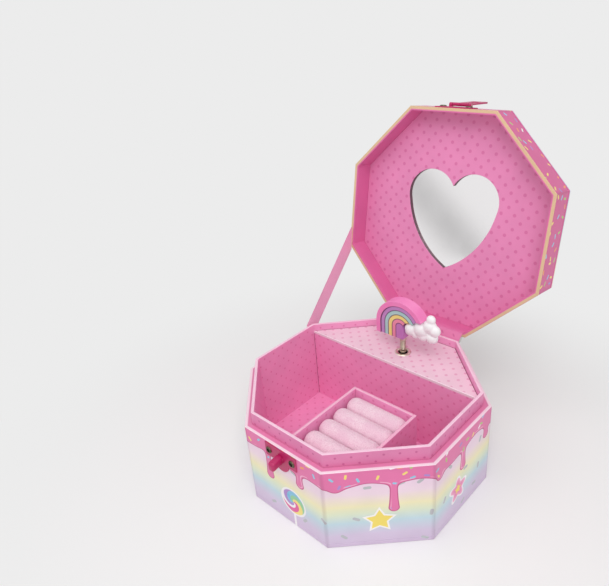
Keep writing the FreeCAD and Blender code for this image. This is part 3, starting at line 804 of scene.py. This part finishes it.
def lathe(profile, foot, direction, steps=24, scale=mm):
    # spins a profile of (radius, height) pairs round an axis, mapped by the distance from it
    form = bmesh.new()
    points = [form.verts.new((radius * scale, 0, height * scale)) for radius, height in profile]
    edges = [form.edges.new(pair) for pair in zip(points, points[1:])]
    bmesh.ops.spin(form, geom=points + edges, cent=(0, 0, 0), axis=(0, 0, 1), angle=2 * pi, steps=steps,
                   use_merge=True)
    bmesh.ops.remove_doubles(form, verts=form.verts, dist=0.005 * mm)
    bmesh.ops.recalc_face_normals(form, faces=form.faces)
    widest = max(radius for radius, height in profile) * scale
    layMap(form, lambda spot: (spot.xy.length / widest, spot.z / widest))
    turn = Vector(direction).to_track_quat("Z", "Y").to_matrix().to_4x4()
    bmesh.ops.transform(form, matrix=shiftBy(Vector(foot)) @ turn, verts=form.verts)
    return form


def voxelMesh(piece, voxel, smooth=0):
    # the piece's mesh built again from even voxels
    remesh = piece.modifiers.new("even", "REMESH")
    remesh.mode = "VOXEL"
    remesh.voxel_size = voxel
    if smooth:
        piece.modifiers.new("soften", "SMOOTH").iterations = smooth
    bpy.context.view_layer.update()
    return bpy.data.meshes.new_from_object(piece.evaluated_get(bpy.context.evaluated_depsgraph_get()))


# boards: wrapped edges are eased, prints laid on by place
boardSet = dict(ease=0.45 * mm, thinEase=0.25 * mm, plaqueEase=0.35 * mm, rimGap=0.1 * mm)
boards = dict(
    base_walls=basePrint, bottom_panel=basePrint, neck_liner=neckPaper, lid_walls=lidSidePrint,
    lid_top_panel=lidTopPrint, lid_rim=rimBoard, lid_liner=linerPaper, music_deck=deckPaper,
    divider=dividerPaper, tray_left_wall=trayPaper, tray_right_wall=trayPaper, tray_back_wall=trayPaper)
thinBoards = ("lid_rim", "lid_liner", "music_deck", "bottom_panel")
for node, material in boards.items():
    dressNode(node, material, boardSet["thinEase"] if node in thinBoards else boardSet["ease"])
dressNode("lid_plaque", plaquePrint, boardSet["plaqueEase"], 3)


def liftRim():
    # the rim's underside stands a hair clear of the shoulder when the lid is shut
    away = openFacing @ Vector((0, 0, boardSet["rimGap"]))
    for vertex in bpy.data.objects["lid_rim_eased"].data.vertices:
        if (shutTurn @ vertex.co).z < shoulderZ + boardSet["rimGap"]:
            vertex.co += away


liftRim()
keptNodes = dict(
    floor_board=floorPaper, window_backing=windowPrint, window_pane=windowPane, heart_mirror=heartMirror,
    movement_bed=movementSteel, movement_case=movementPlastic, hinge_pin_left=hingeSteel,
    hinge_pin_right=hingeSteel, hasp_pin=postBrass, spindle=postBrass, tray_plinth=ringPlush)
for node, material in keptNodes.items():
    nodes[node].data.materials.clear()
    nodes[node].data.materials.append(material)
print("boards dressed")

# clasp, hinges, key and post metalwork
fittingSet = dict(
    claspEase=0.4 * mm, hingeEase=0.3 * mm, keyEase=0.8 * mm, stemEase=0.3 * mm, ferruleEase=0.35 * mm)
for node in ("clasp_base_plate", "clasp_lid_plate", "clasp_hasp"):
    dressNode(node, claspPlastic, fittingSet["claspEase"], 3)
for side in ("left", "right"):
    for half in ("base", "lid"):
        dressNode("hinge_%s_leaf_%s" % (half, side), hingeSteel, fittingSet["hingeEase"])
dressNode("key_wing", keyMetal, fittingSet["keyEase"], 3)
dressNode("key_stem", keyMetal, fittingSet["stemEase"])
dressNode("post_ferrule", postBrass, fittingSet["ferruleEase"], 3)

# the stud's rounded tongue, which droops a little towards its tip
tongueSet = dict(
    wide=5.0 * mm, tall=6.2 * mm, past=0.8 * mm, root=0.3 * mm, ease=1.6 * mm, droop=1.0 * mm, drop=7.3 * mm)


def makeTongue(wide, tall, past, root, ease, droop, drop):
    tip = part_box("clasp_base_plate")[0].y - past
    base = wallLow.y - root
    middleY = (tip + base) / 2
    form = bmesh.new()
    bmesh.ops.create_cube(form, size=1, matrix=shiftBy((0, middleY, shoulderZ - drop))
                          @ Matrix.Diagonal((wide, base - tip, tall, 1)))
    softenEdges(form, ease, 5)
    bmesh.ops.bisect_plane(form, geom=everything(form), plane_co=(0, middleY, 0), plane_no=(0, 1, 0))
    for vertex in form.verts:
        vertex.co.z -= droop * ((base - vertex.co.y) / (base - tip)) ** 2
    makePiece("clasp_tongue", form, claspPlastic, "case", (), 60)


makeTongue(**tongueSet)

# hollow rivets of the clasp: a rolled ring round a sunk centre, as (radius, height) pairs in mm
rivetSet = dict(
    scale=0.98 * mm, sunk=0.35 * mm,
    profile=[(0.0, 0.15), (0.85, 0.15), (1.05, 0.35), (1.25, 0.7), (1.7, 0.85), (2.2, 0.65), (2.5, 0.2),
        (2.5, 0.0)])
for half, turn in (("base", Matrix.Identity(3)), ("lid", openFacing)):
    outward = turn @ Vector((0, -1, 0))
    for side in ("left", "right"):
        node = "%s_rivet_%s" % (half, side)
        low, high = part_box(node)
        form = lathe(rivetSet["profile"], (low + high) / 2 - outward * rivetSet["sunk"], outward,
                     scale=rivetSet["scale"])
        makePiece(node + "_ring", form, rivetMetal, nodes[node]["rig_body"], [node])

# rivet heads on the hinge leaves
leafRivetSet = dict(
    aside=5.5 * mm, inset=5.5 * mm, leafThick=1.2 * mm,
    profile=[(0.0, 0.7), (0.7, 0.62), (1.2, 0.35), (1.4, 0.0)])
for side, outerSign in (("left", -1), ("right", 1)):
    for half, body, turn in (("base", "case", Matrix.Identity(4)), ("lid", "lid", openTurn)):
        low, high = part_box("hinge_%s_leaf_%s" % (half, side))
        footZ = low.z + leafRivetSet["inset"] if half == "base" else lidTopZ - leafRivetSet["inset"]
        for sign in (-1, 1):
            footX = (low.x + high.x) / 2 + sign * leafRivetSet["aside"]
            foot = turn @ Vector((footX, halfFlats + leafRivetSet["leafThick"], footZ))
            form = lathe(leafRivetSet["profile"], foot, turn.to_3x3() @ Vector((0, 1, 0)), 20)
            name = "hinge_%s_rivet_%s_%s" % (half, side, "outer" if sign == outerSign else "inner")
            makePiece(name, form, hingeSteel, body)
print("fittings made")

# eyelet: a rolled pale ring round a well darkened by painted shade
eyeletSet = dict(
    shadedWell=3.6 * mm, steps=48, bright=(240, 234, 222), dull=(186, 174, 152), dark=(30, 22, 20),
    profile=[(2.0, 0.08), (3.3, 0.1), (3.7, 0.3), (4.2, 0.72), (4.9, 0.8), (5.6, 0.6), (6.0, 0.2),
        (6.0, 0.0)])


def makeEyelet(shadedWell, steps, bright, dull, dark, profile):
    material, shader, place = startMaterial("eyeletBrass", {"Metallic": 1.0})
    x, y, z = splitXyz(place)
    patches = noise(place, 300.0, 3.0)
    tone = mix(patches, dull, bright)
    away = span(minus(x, postX), minus(y, postY))
    # painted shade: the well inside the ring is darkened
    tone = mix(inside(minus(away, shadedWell), 0.3 * mm), tone, dark)
    finish(shader, tone, timesPlus(patches, 0.2, 0.22))
    form = lathe(profile, (postX, postY, deckZ), (0, 0, 1), steps)
    makePiece("eyelet_ring", form, material, "case", ["deck_eyelet"])


makeEyelet(**eyeletSet)

# spring post: a close-wound coil between the deck and the ferrule
springSet = dict(wire=0.62 * mm, turns=11, stepsPerTurn=24, wireSides=8)


def makeSpring(wire, turns, stepsPerTurn, wireSides):
    low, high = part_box("post_spring")
    radius = (high.x - low.x - wire) / 2
    steps = turns * stepsPerTurn
    rise = high.z - low.z - wire
    form = bmesh.new()
    start = shiftBy((postX + radius, postY, low.z + wire / 2))
    section = bmesh.ops.create_circle(form, cap_ends=False, radius=wire / 2, segments=wireSides,
                                      matrix=start @ turnBy(pi / 2, "X"))["verts"]
    bmesh.ops.spin(form, geom=section + form.edges[:], cent=(postX, postY, 0), axis=(0, 0, 1), steps=steps,
                   dvec=(0, 0, rise / steps), angle=2 * pi * turns, use_merge=False)
    bmesh.ops.holes_fill(form, edges=[edge for edge in form.edges if len(edge.link_faces) == 1], sides=0)
    bmesh.ops.recalc_face_normals(form, faces=form.faces)
    spring = makePiece("post_coil", form, postBrass, None, ["post_spring"], 60)
    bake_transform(spring)


makeSpring(**springSet)

# rainbow: each band is a soft rounded strip, with painted shade darkening the grooves between them
rainbowSet = dict(rimEase=1.9 * mm, bandEase=0.75 * mm, segments=4)
for node, material in rainbowVinyl.items():
    width = rainbowSet["rimEase"] if node == "rainbow_rim" else rainbowSet["bandEase"]
    dressNode(node, material, width, rainbowSet["segments"])

# cloud: puffs melted together, each (right of the post, height, radius) in mm
cloudSet = dict(
    voxel=0.5 * mm, smooth=4, depth=0.86, lift=2.9 * mm,
    puffs=[(7.9, 9.4, 5.4), (5.6, 6.4, 3.2), (16.4, 12.0, 6.1), (22.6, 16.0, 5.0), (23.5, 21.6, 3.4),
        (26.6, 13.6, 4.2), (24.6, 7.4, 4.4), (17.6, 7.4, 4.6), (11.6, 7.0, 4.2), (14.0, 15.0, 3.6)])


def makeCloud(voxel, smooth, depth, lift, puffs):
    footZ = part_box("cloud")[0].z - lift
    form = bmesh.new()
    for right, rise, radius in puffs:
        place = shiftBy((postX + right * mm, postY, footZ + rise * mm))
        bmesh.ops.create_uvsphere(form, u_segments=24, v_segments=16, radius=radius * mm,
                                  matrix=place @ Matrix.Diagonal((1, depth, 1, 1)))
    raw = makePiece("cloudRaw", form, cloudVinyl)
    form = formOf(voxelMesh(raw, voxel, smooth))
    bpy.data.objects.remove(raw)
    makePiece("cloud_puffs", form, cloudVinyl, "figure", ["cloud"], 180)


makeCloud(**cloudSet)
print("turning figure made")

# ring rolls: plush over foam, swollen by a short cloth simulation
rollSet = dict(count=5, scale=20.0, voxel=0.024, pressure=4.0, frames=20, cap=0.012, shrink=0.95, fill=0.8)


def swell(piece):
    # runs the cloth at a larger scale, where its settings behave, and keeps each point's move short
    rest = [vertex.co.copy() for vertex in piece.data.vertices]
    cloth = piece.modifiers.new("swell", "CLOTH")
    cloth.settings.use_pressure = True
    cloth.settings.uniform_pressure_force = rollSet["pressure"]
    cloth.settings.effector_weights.gravity = 0
    cloth.point_cache.frame_end = rollSet["frames"]
    for step in range(1, rollSet["frames"] + 1):
        scene.frame_set(step)
    swollen = piece.evaluated_get(bpy.context.evaluated_depsgraph_get()).data
    moved = [vertex.co.copy() for vertex in swollen.vertices]
    piece.modifiers.remove(cloth)
    scene.frame_set(1)
    for vertex, start, end in zip(piece.data.vertices, rest, moved):
        shift = end - start
        if shift.length > rollSet["cap"]:
            shift = shift.normalized() * rollSet["cap"]
        vertex.co = start + shift


def makeRoll(number):
    node = "ring_roll_%d" % number
    low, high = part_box(node)
    middle = Vector(((low.x + high.x) / 2, (low.y + high.y) / 2, low.z))
    form = mergedCopy(node)
    bmesh.ops.translate(form, vec=-middle, verts=form.verts)
    bmesh.ops.scale(form, vec=(rollSet["scale"] * rollSet["shrink"],) * 3, verts=form.verts)
    raw = makePiece("rollRaw%d" % number, form, ringPlush)
    even = voxelMesh(raw, rollSet["voxel"])
    raw.modifiers.clear()
    raw.data = even
    swell(raw)
    form = formOf(raw.data)
    bpy.data.objects.remove(raw)
    bmesh.ops.scale(form, vec=(1 / rollSet["scale"],) * 3, verts=form.verts)
    bmesh.ops.translate(form, vec=middle, verts=form.verts)
    for vertex in form.verts:
        vertex.co = Vector([min(max(value, least), most) for value, least, most in zip(vertex.co, low, high)])
    bmesh.ops.smooth_vert(form, verts=form.verts, factor=0.5, use_axis_x=True, use_axis_y=True,
                          use_axis_z=True)
    roll = makePiece("plush_roll_%d" % number, form, ringPlush, "case", [node], 180)
    finer = roll.modifiers.new("finer", "SUBSURF")
    finer.levels = finer.render_levels = 1


for number in range(1, rollSet["count"] + 1):
    makeRoll(number)
print("ring rolls made")

# lid stay ribbon, taut from the neck's left side to the rim of the lid
ribbonSet = dict(
    width=12.5 * mm, low=(-75.35 * mm, 29 * mm, 67.5 * mm), lidPoint=(-78.5 * mm, 26 * mm, 62 * mm),
    clear=0.1 * mm, ripple=0.25 * mm, waves=7, tuck=2 * mm, folded=0.02)


def makeRibbon(width, low, lidPoint, clear, ripple, waves, tuck, folded):
    start = Vector(low)
    finish = openTurn @ Vector(lidPoint)
    along = (finish - start).normalized()
    across = along.cross(Vector((1, 0, 0))).normalized()
    facing = across.cross(along)
    length = (finish - start).length
    form = bmesh.new()
    bmesh.ops.create_grid(form, x_segments=10, y_segments=80, size=0.5)
    layMap(form, lambda spot: (spot.x + 0.5, spot.y + 0.5))
    reach = length + width / 2
    for vertex in form.verts:
        side, up = vertex.co.x, vertex.co.y + 0.5
        wave = ripple * sin(waves * up) * (1 - 4 * side * side)
        vertex.co = start + across * (side * width) + along * (up * reach) - facing * (clear + wave)
    bmesh.ops.bisect_plane(form, geom=everything(form), plane_co=openTurn @ Vector((0, 0, shoulderZ)),
                           plane_no=openFacing @ Vector((0, 0, 1)), clear_outer=True)
    ribbon = makePiece("stay_ribbon", form, ribbonSatin, "case", ["lid_ribbon"], 180)
    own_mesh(ribbon)
    print("ribbon length %.1f mm" % (length / mm))


makeRibbon(**ribbonSet)

# paper hinge tape along the back, from the outside of the neck to the inside of the lid
tapeSet = dict(
    width=62 * mm, neckY=75.15 * mm, neckLow=66 * mm, neckHigh=70.2 * mm, lidY=76.85 * mm, lidRim=62.2 * mm,
    lidHigh=66.5 * mm, cuts=4)


def makeTape():
    neckFoot, neckEnd = [Vector((0, tapeSet["neckY"], tapeSet[key])) for key in ("neckLow", "neckHigh")]
    lidEnd, lidTop = [openTurn @ Vector((0, tapeSet["lidY"], tapeSet[key])) for key in ("lidRim", "lidHigh")]
    corners = [neckFoot, neckEnd, lidEnd, lidTop]
    form = bmesh.new()
    left = [form.verts.new(corner - Vector((tapeSet["width"] / 2, 0, 0))) for corner in corners]
    edges = [form.edges.new(pair) for pair in zip(left, left[1:])]
    bmesh.ops.subdivide_edges(form, edges=edges, cuts=tapeSet["cuts"])
    swept = bmesh.ops.extrude_edge_only(form, edges=form.edges[:])["geom"]
    moved = [item for item in swept if isinstance(item, bmesh.types.BMVert)]
    bmesh.ops.translate(form, vec=(tapeSet["width"], 0, 0), verts=moved)
    tape = makePiece("hinge_tape", form, tapePaper, None, (), 180)
    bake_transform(tape)


makeTape()

# loose sprinkles in the window: four solid rods with rounded ends, and a drift of smaller ones round them
driftSet = dict(
    columns=13, rows=5, stepX=4.6 * mm, stepY=3.0 * mm, topY=31.5 * mm, length=3.0 * mm, thick=1.1 * mm,
    windowY=-12 * mm, halfWide=41 * mm, high=45 * mm, fullest=0.93, thinning=0.16, jitterX=0.5 * mm,
    jitterY=0.3 * mm, sway=0.6, ease=0.35 * mm)
solidEase = 0.45 * mm
for number, (tint, plastic) in enumerate(sprinklePlastics.items(), 1):
    dressNode("sprinkle_%d" % number, plastic, solidEase, 3)


def makeDrift(columns, rows, stepX, stepY, topY, length, thick, windowY, halfWide, high, fullest, thinning,
              jitterX, jitterY, sway, ease):
    forms = [bmesh.new() for tint in sprinklePlastics]
    middleZ = sum(shutReach("sprinkle_1")) / 2
    for row in range(rows):
        for column in range(columns):
            x = (column - columns / 2 + 0.5 * (row % 2)) * stepX
            x += random.uniform(-jitterX, jitterX)
            y = topY - (row + 1) * stepY
            y += random.uniform(-jitterY, jitterY)
            turn = random.uniform(-sway, sway)
            pick, kept = random.randrange(len(forms)), random.random()
            reach = (x / halfWide) ** 2 + ((y - windowY) / high) ** 2
            if reach > fullest or kept > 1.0 - thinning * row:
                continue
            place = openTurn @ shiftBy((x, y, middleZ)) @ turnBy(turn, "Z")
            bmesh.ops.create_cone(forms[pick], cap_ends=True, segments=8, radius1=thick / 2,
                                  radius2=thick / 2, depth=length, matrix=place @ turnBy(pi / 2, "Y"))
    for form, (tint, plastic) in zip(forms, sprinklePlastics.items()):
        softenEdges(form, ease, 2, 60)
        makePiece("sprinkle_drift_" + tint, form, plastic, "sprinkles", (), 60)


makeDrift(**driftSet)
print("soft pieces made")


# floor, background and soft studio light
def emptyTree(owner):
    owner.use_nodes = True
    owner.node_tree.nodes.clear()
    return owner.node_tree


def mixShaders(share, first, second, output):
    mixed = addNode("MixShader", {0: share, 1: first[0], 2: second[0]})
    addNode(output, {"Surface": mixed[0]})


stageSet = dict(
    floor=srgb(236, 236, 236), nearFloor=srgb(246, 245, 245), radius=3.0, below=0.2 * mm, fadeFrom=0.12,
    fadeTo=0.32, world=0.54)


def makeFloor():
    form = bmesh.new()
    bmesh.ops.create_circle(form, cap_ends=True, radius=stageSet["radius"], segments=64,
                            matrix=shiftBy((0, 0, -stageSet["below"])))
    material = bpy.data.materials.new("floorPaper")
    tree = emptyTree(material)
    away = measure(restPlace(tree))
    near = addNode("BsdfDiffuse", {"Color": stageSet["nearFloor"]}, tree)
    far = addNode("Emission", {"Color": stageSet["floor"]}, tree)
    mixShaders(fade(away, stageSet["fadeFrom"], stageSet["fadeTo"]), near, far, "OutputMaterial")
    floor = linkForm("floor", form, material)


def makeWorld():
    scene.world = bpy.data.worlds.new("studio")
    tree = emptyTree(scene.world)
    path = addNode("LightPath", {}, tree)
    mirrored = larger(path["Is Glossy Ray"], path["Is Transmission Ray"])
    light = addNode("Background", {"Color": (1, 1, 1, 1), "Strength": stageSet["world"]}, tree)
    shown = addNode("Background", {"Color": stageSet["floor"], "Strength": 1.0}, tree)
    mixShaders(larger(path["Is Camera Ray"], mirrored), light, shown, "OutputWorld")


# each lamp: place, size and power
lampSet = dict(
    keyLamp=((0.5, -0.54, 0.94), 0.6, 4.5), fillLamp=((-0.35, -0.5, 1.0), 0.6, 1.3),
    topLamp=((0.25, -0.2, 1.1), 0.6, 1.1))
lampTarget = Vector((0, 0, 0.08))


def makeLamps():
    for name, (place, size, power) in lampSet.items():
        data = bpy.data.lights.new(name, "AREA")
        data.size, data.energy = size, power
        lamp = bpy.data.objects.new(name, data)
        scene.collection.objects.link(lamp)
        lamp.location = place
        lamp.rotation_euler = (lampTarget - lamp.location).to_track_quat("-Z", "Y").to_euler()


# a soft grey card out of sight, which gives the mirror its slanting band
cardSet = dict(
    place=Vector((-0.52, -0.84, 0.08)), target=Vector((0, 0.1, 0.14)), width=0.16, height=1.4, slant=-50,
    grey=0.5, strongest=0.9)


def makeCard(place, target, width, height, slant, grey, strongest):
    form = bmesh.new()
    bmesh.ops.create_grid(form, x_segments=1, y_segments=1, size=0.5)
    bmesh.ops.scale(form, vec=(width, height, 1), verts=form.verts)
    material = bpy.data.materials.new("greyCard")
    tree = emptyTree(material)
    middle = absolute(splitXyz(restPlace(tree))[0])
    glow = addNode("Emission", {"Color": (grey,) * 3 + (1,)}, tree)
    mixShaders(fade(middle, 0.0, width / 2, strongest, 0.0),
               addNode("BsdfTransparent", {}, tree), glow, "OutputMaterial")
    card = linkForm("greyCard", form, material)
    facing = (target - place).to_track_quat("Z", "Y").to_matrix().to_4x4()
    card.matrix_world = shiftBy(place) @ facing @ turnBy(radians(slant), "Z")
    card.visible_camera = card.visible_diffuse = card.visible_shadow = False


makeFloor()
makeWorld()
makeLamps()
makeCard(**cardSet)
print("stage and lamps set")
